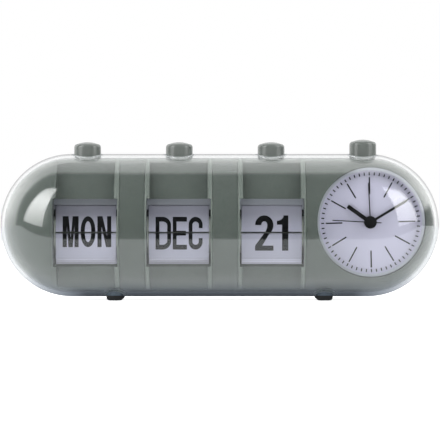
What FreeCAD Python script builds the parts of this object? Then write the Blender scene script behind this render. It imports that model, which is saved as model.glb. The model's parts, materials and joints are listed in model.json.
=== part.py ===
import FreeCAD, Part
import math
import os

# Desk clock with calendar: a lying capsule with a clear front cover, a green body, three flip-card
# calendars (weekday, month, date) and a round alarm dial at the right-hand end.
#
# Millimetres. X runs to the right, Y to the back, Z up. The solids are worked out about the capsule's
# own axis, which is the X axis, and are lifted at the end so that the feet stand on Z = 0.

# ---------------------------------------------------------------- shells
cover_radius = 40.0          # outside of the clear cover and of the rear case
cover_wall = 2.0
cover_gap = 0.8              # air between the clear cover and the housing
housing_wall = 1.8
case_wall = 2.2
parting_y = 7.0              # the clear cover ends here and the rear case begins
rim_depth = 2.5              # thickened rim of the rear case, on which both front shells sit
overrun = 1.0                # how far a cut runs on past the face that it starts from

# ---------------------------------------------------------------- buttons
end_to_weekday = 9.0         # from the centre of the left-hand round end to the first button
button_y = -4.0
button_radius = 7.5
button_rise = 6.5            # above the clear cover
alarm_button_extra = 1.4     # the alarm button stands this much higher
button_travel = 2.6
button_crown = 1.0           # rise of the domed top
button_shoulder = 2.0        # rounding between the top and the side
button_wall = 1.5
button_clearance = 0.2       # radial, in the guide and in the cover
button_flange = 1.1          # the flange stands this much wider than the cap
flange_thickness = 1.6
guide_wall = 1.6
guide_depth = 6.2            # lower end of the guide tubes, below the top of the housing
guide_play = 0.1             # between the flange and the guide tube

# ---------------------------------------------------------------- calendar cards
weekday_card_count = 14      # two sets of seven
month_card_count = 12
date_card_count = 31
card_width = 33.2
card_height = 14.8           # one half, measured from the split line
card_thickness = 0.2
split_gap = 0.4              # from the split line to the edge of each half
split_z = -4.0
card_inset = 18.0            # from the front of the clear cover to the cards
hinge_radius = 9.0           # circle on which the cards hang in the drum
tab_length = 0.8
tab_width = 0.8
card_corner = 0.7

# ---------------------------------------------------------------- drum, axle and ratchet
disc_radius = 11.2
disc_thickness = 0.7
disc_gap = 0.2               # beside the cards
tab_socket = 1.0             # square socket that a card's tab turns in
hub_radius = 5.2
sleeve_radius = 3.0          # carries the ratchet wheel outside the bearing plate
axle_radius = 1.0
axle_head = 2.4
axle_head_thickness = 0.8
running_fit = 0.06           # radial play of a turning fit
seat_fit = 0.02              # radial play of a fixed fit
side_play = 0.2              # end play beside the bearing plates
ratchet_thickness = 1.6
tooth_depth = 0.9
pawl_play = 0.06

# ---------------------------------------------------------------- cassettes (window frame + bearings)
rib_cut = 1.75               # the window cuts into each rib by this much
rib_width = 2.8
rib_proud = 0.5              # the ribs stand this much above the housing
rib_rounding = 0.9
recess_depth = 8.5           # middle of the recess, below the outside of the housing
recess_gap = 2.2             # from the guide tubes to the ends of the recess
floor_thickness = 1.8
window_margin = 3.6          # above and below the cards
rib_top_end_y = -10.5        # the ribs run on over the housing to here at the top
plate_thickness = 1.6
bridge_drop = 12.0           # from the guide tubes down to the cross-bar with the spring's seat
bridge_thickness = 1.6
bridge_length = 12.0
plate_drop = 0.1             # the bearing plates end this much inside the top of the bridge
tie_gap = 0.1                # behind the sweep of the cards
tie_thickness = 1.5
tie_height = 12.0
cassette_fit = 0.1           # in the housing

# ---------------------------------------------------------------- card stop
stop_low = 4.8
stop_high = 8.6
stop_thickness = 0.8
stop_reach = 0.3             # in front of the cards
stop_nose = 1.6              # thickness of the fingers' ends
stop_strip = 2.4
stop_lip_gap = 0.3           # from the top edge of the front card up to the lip before the others

# ---------------------------------------------------------------- push rods and springs
rod_stem_radius = 2.5
rod_plate_thickness = 1.8
rod_plate_width = 6.0
rod_bar_height = 3.0
rod_leg_width = 1.4
rod_leg_gap = 0.4            # from the leg to the teeth of the wheel
pawl_height = 1.2
pawl_slope = 0.5
pawl_reach_play = 0.15       # from the tip of the pawl to the root of the tooth
peg_radius = 3.2
peg_height = 1.6
spring_radius = 4.3
spring_wire = 0.35           # radius of the wire
spring_turns = 4

# ---------------------------------------------------------------- dial, hands and movement
dial_offset_x = 0.5          # from the centre of the right-hand round end
dial_rise = 1.6              # above the capsule's axis
dial_margin = 0.54           # from the edge of the dial to the inside of the clear cover
dial_gap = 4.45              # between the date cassette and the wall round the dial
dial_thickness = 1.0
dial_inset = 20.0            # from the front of the clear cover to the dial
dial_clearance = 0.3
bezel_width = 1.4
bezel_height = 0.9
well_wall = 1.6
well_floor = 1.6
movement_gap = 0.3           # between the movement and the pressed alarm push rod
movement_depth = 16.0
movement_corner = 12.0
bush_radius = 3.3
bush_wall = 0.5
bush_clearance = 0.2
tube_wall = 0.5
tube_play = 0.08
arbor_radius = 0.8
bush_proud = 0.5             # in front of the dial
hand_gap = 0.3
hour_length = 15.4
hour_width = 2.2
hour_thickness = 0.5
minute_length = 23.0
minute_width = 1.35
minute_thickness = 0.4
alarm_length = 21.5
alarm_width = 0.6
alarm_thickness = 0.3
second_length = 21.1
second_tail = 6.0
second_width = 0.55
second_thickness = 0.3
hand_hub_radius = 3.2
second_hub_radius = 3.35
second_hub_height = 0.9
hour_angle = 304.9           # clockwise from twelve: ten past ten
minute_angle = 59.0
second_angle = 273.0
alarm_angle = 357.0

# ---------------------------------------------------------------- knobs and their well
knob_well_radius = 22.0
knob_well_depth = 14.0
knob_spread = 10.0           # each knob from the middle of the well
knob_stem_radius = 1.5
knob_seat_depth = 3.0
time_knob_radius = 7.0
alarm_knob_radius = 5.6
knob_height = 6.0
knob_gap = 0.4
knob_ribs = 18
knob_rib_depth = 0.4
knob_chamfer = 0.5
sound_hole_radius = 0.9
sound_ring_radius = 3.6
sound_hole_count = 6
sound_rise = 13.0

# ---------------------------------------------------------------- board, buzzer and switch
board_thickness = 1.2
board_margin = 3.0
board_low = 5.0
board_high = 21.0
buzzer_radius = 6.0
buzzer_height = 5.5
buzzer_hole_radius = 1.2
switch_width = 8.0
switch_depth = 7.6
switch_reach = 9.0           # from the board to the back of the switch
switch_low = 8.0
switch_floor = 2.0
plunger_radius = 1.4

# ---------------------------------------------------------------- battery
cell_radius = 7.1
cell_length = 49.5
cell_nub_radius = 2.7
cell_nub = 1.0
cell_depth = 10.8            # from the back of the case to the middle of the cell
pocket_height = 18.0
pocket_wall = 2.5
pocket_floor_gap = 0.5       # between the cell and the floor of the pocket
pocket_floor = 1.6
contact_thickness = 0.4
contact_width = 11.0
contact_rise = 1.5           # the plate is this much higher than it is wide
contact_coil_length = 6.1
contact_coil_inset = 2.6     # from the cell's edge to the middle of the coil's wire
negative_turns = 3
lead_radius = 0.6
lead_hole_play = 0.1
lead_depth = 3.0             # from the floor of the pocket to the lead at the contact
lead_run_out = 2.4           # the leads run this far beyond the pocket's walls
lead_spacing = 3.0           # between the two leads along the inside of the case
lead_board_inset = 2.5       # from the board's edges to the leads' ends
door_lap = 1.3               # the door lies on the pocket's wall by this much
door_clearance = 0.25
door_seat_gap = 0.1
door_groove_radius = 5.0
door_groove_depth = 0.9
door_groove_half = 1.2       # half the height of the flat groove for a fingertip

# ---------------------------------------------------------------- screws and feet
screw_inset = 12.2           # from the outside of the housing to the screws
post_radius = 3.3
post_clearance = 1.57        # between a post and the calendar on each side of it
screw_radius = 1.25
screw_head_radius = 2.4
screw_head_height = 1.6
screw_length = 12.0
screw_bite = 8.0
cross_half = 1.6             # the cross in the screw's head
cross_slot = 0.6
cross_depth = 0.7
pilot_play = 0.05
foot_inset = 24.5            # from the centre of each round end to the feet
front_foot_y = -10.0
rear_foot_y = 16.0
foot_radius = 4.7
foot_tip_radius = 3.0
foot_height = 2.0            # below the clear cover
foot_stem_radius = 3.0
foot_stem_length = 4.5
foot_boss_wall = 1.6
foot_boss_end = 1.0
foot_bulge_height = 0.3      # middle of the foot's rounded edge, as parts of its height and width
foot_bulge_width = 0.72

# ---------------------------------------------------------------- places worked out from the above
housing_radius = cover_radius - cover_wall - cover_gap
housing_inner = housing_radius - housing_wall
case_inner = cover_radius - case_wall
axis_height = cover_radius + foot_height
button_top = cover_radius + button_rise
guide_bottom = housing_radius - guide_depth
bridge_bottom = guide_bottom - bridge_drop
screw_spread = housing_radius - screw_inset
card_plane_y = card_inset - cover_radius
drum_y = card_plane_y + hinge_radius
disc_inner = card_width / 2 + disc_gap
disc_outer = disc_inner + disc_thickness
plate_inner = disc_outer + side_play
plate_outer = plate_inner + plate_thickness
window_half = plate_inner
window_top = split_z + card_height + window_margin
window_bottom = split_z - card_height - window_margin
recess_half = window_half - rib_cut
cassette_half = recess_half + rib_width
recess_end_y = button_y - button_radius - button_clearance - guide_wall - recess_gap
recess_chord = math.sqrt(housing_radius ** 2 - recess_end_y ** 2)
recess_rise = recess_end_y + housing_radius - recess_depth
recess_radius = (recess_chord ** 2 + recess_rise ** 2) / (2 * recess_rise)
recess_centre_y = recess_depth - housing_radius + recess_radius
wheel_inner = plate_outer + side_play + running_fit
wheel_outer = wheel_inner + ratchet_thickness
bridge_top = bridge_bottom + bridge_thickness
flange_top = guide_bottom - guide_play
flange_bottom = flange_top - flange_thickness
rod_top = flange_bottom
rod_bottom = rod_top - rod_plate_thickness
axle_end = wheel_outer + 2 * side_play + axle_head_thickness
post_offset = plate_outer + post_clearance + post_radius
button_pitch = axle_end + post_offset + post_radius + post_clearance
dial_front_y = dial_inset - cover_radius
dial_room = math.sqrt((cover_radius - cover_wall) ** 2 - (dial_front_y - bezel_height) ** 2)
dial_radius = dial_room - dial_rise - dial_margin
well_radius = dial_radius + dial_clearance
date_to_dial = cassette_half + dial_gap + well_wall + well_radius
straight_half = (end_to_weekday + 2 * button_pitch + date_to_dial - dial_offset_x) / 2
dial_x = straight_half + dial_offset_x
first_button_x = end_to_weekday - straight_half
foot_x = straight_half - foot_inset
dial_back_y = dial_front_y + dial_thickness
well_back_y = dial_back_y + well_floor
movement_back_y = well_back_y + movement_depth
movement_top = rod_bottom - button_travel - movement_gap
movement_size = 2 * (movement_top - dial_rise)
board_back_y = movement_back_y + board_thickness
switch_back_y = board_back_y + switch_reach
knob_well_floor_y = cover_radius - knob_well_depth
cell_y = cover_radius - cell_depth
pocket_floor_y = cell_y - cell_radius - pocket_floor_gap
lead_start_y = pocket_floor_y + lead_depth
pocket_length = contact_coil_length + cell_length + cell_nub + 2 * contact_thickness
door_length = pocket_length + 2 * door_lap
door_height = pocket_height + 2 * door_lap

calendar_cards = (("weekday", weekday_card_count), ("month", month_card_count), ("date", date_card_count))
calendar_counts = [(name, index, count) for index, (name, count) in enumerate(calendar_cards)]
alarm_button_x = first_button_x + 3 * button_pitch
most_cards = max(count for name, index, count in calendar_counts)
hinge_inboard = hinge_radius * math.sin(math.pi / most_cards)
tie_y = drum_y + hinge_radius + card_height - hinge_inboard + tie_gap
plate_radius = max(bridge_top - split_z - plate_drop, tie_y + tie_thickness - drum_y)
far = 2 * (straight_half + cover_radius)

parts = {}


def vec(x, y, z):
    return FreeCAD.Vector(x, y, z)


def block(x_range, y_range, z_range):
    """Box between two coordinates on each axis."""
    size = [high - low for low, high in (x_range, y_range, z_range)]
    return Part.makeBox(*size, vec(x_range[0], y_range[0], z_range[0]))


def rod(radius, start, end):
    """Cylinder from one point to another."""
    way = vec(*end) - vec(*start)
    return Part.makeCylinder(radius, way.Length, vec(*start), way)


def prism_x(points, x_low, x_high):
    """Outline of (y, z) points drawn out along X."""
    ring = [vec(x_low, y, z) for y, z in points]
    face = Part.Face(Part.makePolygon(ring + ring[:1]))
    return face.extrude(vec(x_high - x_low, 0, 0))


def prism_y(points, y_low, y_high):
    """Outline of (x, z) points drawn out along Y."""
    ring = [vec(x, y_low, z) for x, z in points]
    face = Part.Face(Part.makePolygon(ring + ring[:1]))
    return face.extrude(vec(0, y_high - y_low, 0))


def capsule(radius):
    """Solid capsule of the given radius about the X axis."""
    slant = radius * math.sqrt(0.5)
    left, right = -straight_half, straight_half
    edges = [
        Part.Arc(vec(left - radius, 0, 0), vec(left - slant, 0, slant), vec(left, 0, radius)),
        Part.LineSegment(vec(left, 0, radius), vec(right, 0, radius)),
        Part.Arc(vec(right, 0, radius), vec(right + slant, 0, slant), vec(right + radius, 0, 0)),
        Part.LineSegment(vec(right + radius, 0, 0), vec(left - radius, 0, 0)),
    ]
    profile = Part.Face(Part.Wire([edge.toShape() for edge in edges]))
    return profile.revolve(vec(0, 0, 0), vec(1, 0, 0), 360)


def front_of(y):
    return block((-far, far), (-far, y), (-far, far))


def behind(y):
    return block((-far, far), (y, far), (-far, far))


def fuse(solids):
    """One solid from several that touch, with the seams between them removed."""
    first, rest = solids[0], solids[1:]
    return first.fuse(rest).removeSplitter()


# ================================================================ housings

def screw_places():
    """To the right of each calendar, above and below the axis."""
    middles = [first_button_x + button_pitch * index + post_offset for index in range(3)]
    return [(x, z) for x in middles for z in (-screw_spread, screw_spread)]


def button_places():
    return [first_button_x + button_pitch * index for index in range(4)]


def foot_places(y):
    return [(x, y) for x in (-foot_x, foot_x)]


def make_clear_cover():
    shell = capsule(cover_radius).cut(capsule(cover_radius - cover_wall)).common(front_of(parting_y))
    hole = button_radius + button_clearance
    cuts = [rod(hole, (x, button_y, 0), (x, button_y, far)) for x in button_places()]
    stem = foot_stem_radius + running_fit
    cuts += [rod(stem, (x, y, 0), (x, y, -far)) for x, y in foot_places(front_foot_y)]
    return shell.cut(cuts)


def make_front_housing():
    body = capsule(housing_radius)
    inside = capsule(housing_inner)
    shell = body.cut(inside).common(front_of(parting_y))
    centre = (dial_x, dial_rise)
    well_outer = well_radius + well_wall
    well = rod(well_outer, (centre[0], -far, centre[1]), (centre[0], well_back_y, centre[1]))
    guides = []
    for x in button_places():
        outer = button_radius + button_clearance + guide_wall
        guides.append(rod(outer, (x, button_y, guide_bottom), (x, button_y, far)))
    posts = [rod(post_radius, (x, -far, z), (x, parting_y, z)) for x, z in screw_places()]
    bosses = []
    for x, y in foot_places(front_foot_y):
        top = foot_stem_length - cover_radius + foot_boss_end
        bosses.append(rod(foot_stem_radius + foot_boss_wall, (x, y, -far), (x, y, top)))
    room = capsule(cover_radius - cover_wall)
    added = [piece.common(body) for piece in [well] + guides + posts]
    added += [boss.common(room) for boss in bosses]
    housing = fuse([shell] + added)

    cuts = [rod(well_radius, (centre[0], -far, centre[1]), (centre[0], dial_back_y, centre[1]))]
    bush_hole = bush_radius + bush_clearance
    cuts.append(rod(bush_hole, (centre[0], -far, centre[1]), (centre[0], far, centre[1])))
    for x in button_places():
        bore = button_radius + button_clearance
        cuts.append(rod(bore, (x, button_y, guide_bottom - overrun), (x, button_y, far)))
    for name, index, count in calendar_counts:
        x = first_button_x + button_pitch * index
        half = cassette_half + cassette_fit
        cuts.append(block((x - half, x + half), (-far, recess_end_y), (-far, far)))
    for x, z in screw_places():
        pilot = screw_radius + pilot_play
        cuts.append(rod(pilot, (x, parting_y - screw_bite - overrun, z), (x, far, z)))
    for x, y in foot_places(front_foot_y):
        top = foot_stem_length - cover_radius
        cuts.append(rod(foot_stem_radius + running_fit, (x, y, -far), (x, y, top)))
    return housing.cut(cuts)


def make_rear_case():
    outer = capsule(cover_radius)
    inner = capsule(case_inner)
    back = behind(parting_y)
    shell = outer.cut(inner)
    rim = inner.cut(capsule(housing_inner)).common(front_of(parting_y + rim_depth))
    middle = capsule(cover_radius - case_wall / 2)
    well = rod(knob_well_radius + case_wall, (dial_x, knob_well_floor_y - case_wall, 0), (dial_x, far, 0))
    pocket = block(
        (-pocket_length / 2 - pocket_wall, pocket_length / 2 + pocket_wall),
        (pocket_floor_y - pocket_floor, far),
        (-pocket_height / 2 - pocket_wall, pocket_height / 2 + pocket_wall))
    posts = [rod(post_radius, (x, parting_y, z), (x, far, z)) for x, z in screw_places()]
    added = [piece.common(middle) for piece in [well, pocket] + posts]
    case = fuse([shell.common(back), rim.common(back)] + added)

    cuts = [rod(knob_well_radius, (dial_x, knob_well_floor_y, 0), (dial_x, far, 0))]
    for side in (-1, 1):
        x = dial_x + side * knob_spread
        cuts.append(rod(knob_stem_radius + running_fit, (x, 0, 0), (x, far, 0)))
    for x, z in sound_hole_places():
        cuts.append(rod(sound_hole_radius, (x, 0, z), (x, far, z)))
    cuts.append(block(
        (-pocket_length / 2, pocket_length / 2), (pocket_floor_y, far),
        (-pocket_height / 2, pocket_height / 2)))
    lead_hole = lead_radius + lead_hole_play
    end = pocket_length / 2 + pocket_wall + overrun
    cuts.append(rod(lead_hole, (-end, lead_start_y, 0), (end, lead_start_y, 0)))
    cuts.append(door_blank(0).common(capsule(cover_radius + overrun).cut(inner)))
    head_y = parting_y + screw_length - screw_bite
    for x, z in screw_places():
        cuts.append(rod(screw_radius + running_fit, (x, 0, z), (x, far, z)))
        cuts.append(rod(screw_head_radius + running_fit, (x, head_y, z), (x, far, z)))
    for x, y in foot_places(rear_foot_y):
        cuts.append(rod(foot_stem_radius + running_fit, (x, y, 0), (x, y, -far)))
    return case.cut(cuts)


def sound_hole_places():
    """Middle hole and a ring round it, in the floor of the knob well."""
    ring = [2 * math.pi * index / sound_hole_count for index in range(sound_hole_count)]
    places = [(dial_x, sound_rise)]
    for angle in ring:
        places.append((dial_x + sound_ring_radius * math.cos(angle),
                       sound_rise + sound_ring_radius * math.sin(angle)))
    return places


def door_blank(clearance):
    """Block with the outline of the battery door, seen from behind."""
    half_length = door_length / 2 - clearance
    half_height = door_height / 2 - clearance
    return block((-half_length, half_length), (0, far), (-half_height, half_height))


def make_battery_door():
    skin = capsule(cover_radius).cut(capsule(case_inner + door_seat_gap))
    door = door_blank(door_clearance).common(skin)
    groove_z = door_height / 2 - door_clearance - door_groove_radius / 2
    groove = rod(door_groove_radius, (0, cover_radius - door_groove_depth, groove_z), (0, far, groove_z))
    floor = block((-far, far), (0, far), (groove_z - door_groove_half, groove_z + door_groove_half))
    return door.cut(groove.common(floor))


def make_feet():
    feet = []
    body = capsule(cover_radius)
    for x, y in foot_places(front_foot_y) + foot_places(rear_foot_y):
        bottom = -axis_height
        middle = bottom + foot_bulge_height * foot_height
        edges = [
            Part.LineSegment(vec(0, 0, bottom), vec(foot_tip_radius, 0, bottom)),
            Part.Arc(vec(foot_tip_radius, 0, bottom),
                     vec(foot_tip_radius + foot_bulge_width * (foot_radius - foot_tip_radius), 0, middle),
                     vec(foot_radius, 0, bottom + foot_height)),
            Part.LineSegment(vec(foot_radius, 0, bottom + foot_height), vec(foot_radius, 0, -cover_radius / 2)),
            Part.LineSegment(vec(foot_radius, 0, -cover_radius / 2), vec(0, 0, -cover_radius / 2)),
            Part.LineSegment(vec(0, 0, -cover_radius / 2), vec(0, 0, bottom)),
        ]
        face = Part.Face(Part.Wire([edge.toShape() for edge in edges]))
        pad = face.revolve(vec(0, 0, 0), vec(0, 0, 1), 360)
        pad.translate(vec(x, y, 0))
        stem = rod(foot_stem_radius, (x, y, bottom + foot_height), (x, y, foot_stem_length - cover_radius))
        feet.append(fuse([pad.cut(body), stem]))
    return Part.makeCompound(feet)


def make_screws():
    screws = []
    head_y = parting_y + screw_length - screw_bite
    for x, z in screw_places():
        shank = rod(screw_radius, (x, parting_y - screw_bite, z), (x, head_y, z))
        head = rod(screw_head_radius, (x, head_y, z), (x, head_y + screw_head_height, z))
        cross_y = (head_y + screw_head_height - cross_depth, far)
        half = cross_slot / 2
        level = block((x - cross_half, x + cross_half), cross_y, (z - half, z + half))
        upright = block((x - half, x + half), cross_y, (z - cross_half, z + cross_half))
        screws.append(fuse([shank, head]).cut([level, upright]))
    return Part.makeCompound(screws)


# ================================================================ calendar cassettes

def recess_roll(x_range, inward):
    """Drum whose front is the floor of the recess, or lies further inward."""
    drum = rod(recess_radius - inward, (x_range[0], recess_centre_y, 0), (x_range[1], recess_centre_y, 0))
    return drum.common(front_of(recess_end_y))


def make_cassette(x):
    """Window frame with ribs and curved recess, and the two bearing plates behind it."""
    rib_radius = housing_radius + rib_proud
    rims = []
    for side in (-1, 1):
        inner = side * recess_half
        outer = side * cassette_half
        rims.append(rounded_disc(x + min(inner, outer), x + max(inner, outer), rib_radius))
    front = front_of(recess_end_y)
    over_housing = block((-far, far), (recess_end_y, rib_top_end_y), (0, far))
    skin = capsule(housing_radius)
    limit = capsule(rib_radius)
    wide = (x - plate_outer, x + plate_outer)
    hollow = recess_roll(wide, floor_thickness)
    floor = recess_roll((x - cassette_half, x + cassette_half), 0)
    pieces = [floor.common(skin).cut(hollow)]
    for rim in rims:
        pieces.append(rim.common(front).common(limit).cut(hollow))
        pieces.append(rim.common(over_housing).common(limit).cut(skin))
    drum = (drum_y, split_z)
    plate_room = fuse([recess_roll(wide, floor_thickness / 2),
                       block(wide, (recess_end_y, far), (-far, far))])
    for side in (-1, 1):
        low, high = sorted((x + side * plate_inner, x + side * plate_outer))
        plate = rod(plate_radius, (low, *drum), (high, *drum))
        pieces.append(plate.common(block((low, high), (-far, far), (-far, bridge_top))).common(plate_room))
    bar = (x - plate_outer, x + plate_outer)
    bridge_y = (button_y - bridge_length / 2, button_y + bridge_length / 2)
    pieces.append(block(bar, bridge_y, (bridge_bottom, bridge_top)))
    pieces.append(rod(peg_radius, (x, button_y, bridge_top), (x, button_y, bridge_top + peg_height)))
    pieces.append(block(bar, (tie_y, tie_y + tie_thickness),
                        (split_z - tie_height / 2, split_z + tie_height / 2)))
    frame = fuse(pieces)
    window = block((x - window_half, x + window_half), (-far, card_plane_y), (window_bottom, window_top))
    left_bore = rod(sleeve_radius + running_fit, (x - far, *drum), (x, *drum))
    right_bore = rod(axle_radius + seat_fit, (x, *drum), (x + far, *drum))
    return frame.cut([window, left_bore, right_bore])


def rounded_disc(x_low, x_high, radius):
    """Disc about the X axis whose rim is rounded."""
    bend = rib_rounding * (1 - math.sqrt(0.5))
    points = [(x_low, 0), (x_low, radius - rib_rounding), (x_low + rib_rounding, radius),
              (x_high - rib_rounding, radius), (x_high, radius - rib_rounding), (x_high, 0)]
    p = [vec(a, 0, b) for a, b in points]
    edges = [
        Part.LineSegment(p[0], p[1]),
        Part.Arc(p[1], vec(x_low + bend, 0, radius - bend), p[2]),
        Part.LineSegment(p[2], p[3]),
        Part.Arc(p[3], vec(x_high - bend, 0, radius - bend), p[4]),
        Part.LineSegment(p[4], p[5]),
        Part.LineSegment(p[5], p[0]),
    ]
    face = Part.Face(Part.Wire([edge.toShape() for edge in edges]))
    return face.revolve(vec(0, 0, 0), vec(1, 0, 0), 360)


def make_axle(x):
    """Pin through the right bearing plate and the drum, with a head outside the ratchet wheel."""
    drum = (drum_y, split_z)
    head_x = x - wheel_outer - 2 * side_play
    pin = rod(axle_radius, (head_x, *drum), (x + plate_outer, *drum))
    head = rod(axle_head, (head_x - axle_head_thickness, *drum), (head_x, *drum))
    return fuse([pin, head])


def make_drum(x, count):
    """Hub with two discs; the discs have one square hole for each card."""
    drum = (drum_y, split_z)
    core = rod(hub_radius, (x - disc_inner, *drum), (x + disc_inner, *drum))
    sleeve = rod(sleeve_radius, (x - wheel_outer, *drum), (x, *drum))
    solids = [core, sleeve]
    for side in (-1, 1):
        low, high = sorted((x + side * disc_inner, x + side * disc_outer))
        solids.append(rod(disc_radius, (low, *drum), (high, *drum)))
    body = fuse(solids)
    bore = rod(axle_radius + running_fit, (x - far, *drum), (x + far, *drum))
    cuts = [bore]
    half = tab_socket / 2
    for index in range(count):
        hole_y, hole_z = hinge_place(index, count)
        for side in (-1, 1):
            low, high = sorted((x + side * disc_inner, x + side * disc_outer))
            cuts.append(block((low, high), (hole_y - half, hole_y + half), (hole_z - half, hole_z + half)))
    return body.cut(cuts)


def hinge_place(index, count):
    """Place of a card's hinge on the drum, counted upwards from the card in front."""
    angle = math.pi * (2 * index + 1) / count
    return drum_y - hinge_radius * math.cos(angle), split_z + hinge_radius * math.sin(angle)


def fan_angle(index, count):
    """Direction of a card from its hinge: 90 is up, 180 is to the back, 270 is down.

    A card leans over with the turn of the drum until it hangs straight down.
    """
    upright = 90
    hanging = 270
    return min(upright + 360 * index / count, hanging)


def make_card(x, index, count):
    """Thin card with a tab on each side of its hinge edge, standing as it does in the fan."""
    inboard = hinge_radius * math.sin(math.pi / count)
    low = split_gap - inboard
    high = card_height - inboard
    half = card_width / 2
    tab_x = half + tab_length
    tab_z = tab_width / 2
    right = [(half, low), (half, -tab_z), (tab_x, -tab_z), (tab_x, tab_z), (half, tab_z),
             (half, high - card_corner), (half - card_corner, high)]
    left = [(-a, b) for a, b in reversed(right)]
    hinge_y, hinge_z = hinge_place(index, count)
    points = [(x + a, hinge_z + b) for a, b in right + left]
    card = prism_y(points, hinge_y - card_thickness / 2, hinge_y + card_thickness / 2)
    card.rotate(vec(x, hinge_y, hinge_z), vec(-1, 0, 0), fan_angle(index, count) - 90)
    return card


def make_leaf_pack(x, count):
    return Part.makeCompound([make_card(x, index, count) for index in range(1, count)])


def wheel_radius(count):
    """Pitch radius at which one tooth is one press of the button."""
    return count * button_travel / (2 * math.pi)


def make_ratchet_wheel(x, count):
    """Saw-toothed wheel: the steep side of each tooth faces up where the pawl meets it."""
    pitch = 2 * math.pi / count
    tip = wheel_radius(count) + tooth_depth / 2
    root = wheel_radius(count) - tooth_depth / 2
    points = []
    for index in range(count):
        angle = pitch * index + pitch / 2
        for radius in (tip, root):
            points.append((drum_y - radius * math.cos(angle), split_z + radius * math.sin(angle)))
    wheel = prism_x(points, x - wheel_outer, x - wheel_inner)
    drum = (drum_y, split_z)
    return wheel.cut(rod(sleeve_radius + seat_fit, (x - far, *drum), (x + far, *drum)))


def make_card_stop(x):
    """Strip with a lip above the front card and a finger down each side of the cards."""
    half = plate_inner - cassette_fit
    front = card_plane_y - stop_reach
    strip = block((x - half, x + half), (-far, front), (window_top, window_top + stop_strip))
    lip = block((x - half, x + half), (front - stop_thickness, front),
                (split_z + card_height + stop_lip_gap, window_top + stop_strip))
    solids = [strip.common(recess_roll((x - half, x + half), floor_thickness)), lip]
    for side in (-1, 1):
        low, high = sorted((x + side * (card_width / 2 + disc_gap), x + side * half))
        solids.append(block((low, high), (front - stop_thickness, front), (stop_low, window_top + stop_strip)))
        solids.append(block((low, high), (front - stop_nose, front), (stop_low, stop_high)))
    return fuse(solids)


# ================================================================ buttons, push rods and springs

def make_button(x, top):
    """Hollow cap with a domed top, a flange below its guide and a socket for the push rod."""
    edge = button_radius - button_shoulder
    crown = top - button_crown
    side = crown - button_shoulder
    slant = button_shoulder * math.sqrt(0.5)
    ball = (edge ** 2 + button_crown ** 2) / (2 * button_crown)
    half_way = math.asin(edge / ball) / 2
    middle = vec(ball * math.sin(half_way), 0, top - ball * (1 - math.cos(half_way)))
    edges = [
        Part.Arc(vec(0, 0, top), middle, vec(edge, 0, crown)),
        Part.Arc(vec(edge, 0, crown), vec(edge + slant, 0, side + slant), vec(button_radius, 0, side)),
        Part.LineSegment(vec(button_radius, 0, side), vec(button_radius, 0, flange_bottom)),
        Part.LineSegment(vec(button_radius, 0, flange_bottom), vec(0, 0, flange_bottom)),
        Part.LineSegment(vec(0, 0, flange_bottom), vec(0, 0, top)),
    ]
    face = Part.Face(Part.Wire([part.toShape() for part in edges]))
    cap = face.revolve(vec(0, 0, 0), vec(0, 0, 1), 360)
    flange = rod(button_radius + button_flange, (0, 0, flange_bottom), (0, 0, flange_top))
    ceiling = side - button_wall
    cavity = rod(button_radius - button_wall, (0, 0, flange_bottom - overrun), (0, 0, ceiling))
    socket = rod(rod_stem_radius + button_wall, (0, 0, flange_bottom), (0, 0, ceiling + overrun))
    bore = rod(rod_stem_radius + seat_fit, (0, 0, flange_bottom), (0, 0, rod_stem_top() + overrun))
    button = fuse([cap, flange]).cut(cavity)
    button = fuse([button, socket]).cut(bore)
    button.translate(vec(x, button_y, 0))
    return button


def rod_stem_top():
    return (flange_bottom + button_top - button_crown - button_shoulder - button_wall) / 2


def rod_head(x):
    """Plate under the button with its stem up into the cap and a peg for the spring."""
    spot = (x, button_y)
    plate = rod(button_radius - button_clearance, (*spot, rod_bottom), (*spot, rod_top))
    stem = rod(rod_stem_radius, (*spot, rod_top), (*spot, rod_stem_top()))
    return [plate, stem]


def make_push_rod(x, count):
    """Push rod: it reaches round the left bearing plate and ends in the pawl in front of the wheel."""
    tip = wheel_radius(count) + tooth_depth / 2
    root = wheel_radius(count) - tooth_depth / 2
    half_step = math.pi / count
    pawl_z = split_z + tip * math.sin(half_step) + pawl_play
    engage_y = drum_y - root * math.cos(half_step) - pawl_reach_play
    leg_back = drum_y - tip - rod_leg_gap
    leg_front = leg_back - rod_leg_width
    biggest_wheel = wheel_radius(most_cards) + tooth_depth
    bar_low = split_z + biggest_wheel + button_travel
    bar_high = bar_low + rod_bar_height
    x_low, x_high = x - wheel_outer, x - wheel_inner
    arm_y = (button_y - rod_plate_width / 2, button_y + rod_plate_width / 2)
    arm = block((x_low, x), arm_y, (rod_bottom, rod_top))
    peg = rod(peg_radius, (x, button_y, rod_bottom - peg_height), (x, button_y, rod_bottom))
    hanger = block((x_low, x_high), arm_y, (bar_low, rod_bottom))
    bar = block((x_low, x_high), (leg_front, arm_y[1]), (bar_low, bar_high))
    pawl = prism_x([
        (engage_y, pawl_z),
        (engage_y - pawl_slope, pawl_z + pawl_height),
        (leg_back, pawl_z + 2 * pawl_height),
        (leg_back, bar_high),
        (leg_front, bar_high),
        (leg_front, pawl_z),
    ], x_low, x_high)
    return fuse(rod_head(x) + [arm, peg, hanger, bar, pawl])


def make_alarm_rod(x):
    """Alarm push rod: an arm to the back, over the plunger of the switch."""
    switch_y = switch_back_y - switch_depth / 2
    arm = block((x - rod_plate_width / 2, x + rod_plate_width / 2), (button_y, switch_y + peg_radius),
                (rod_bottom, rod_top))
    return fuse(rod_head(x) + [arm])


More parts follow.
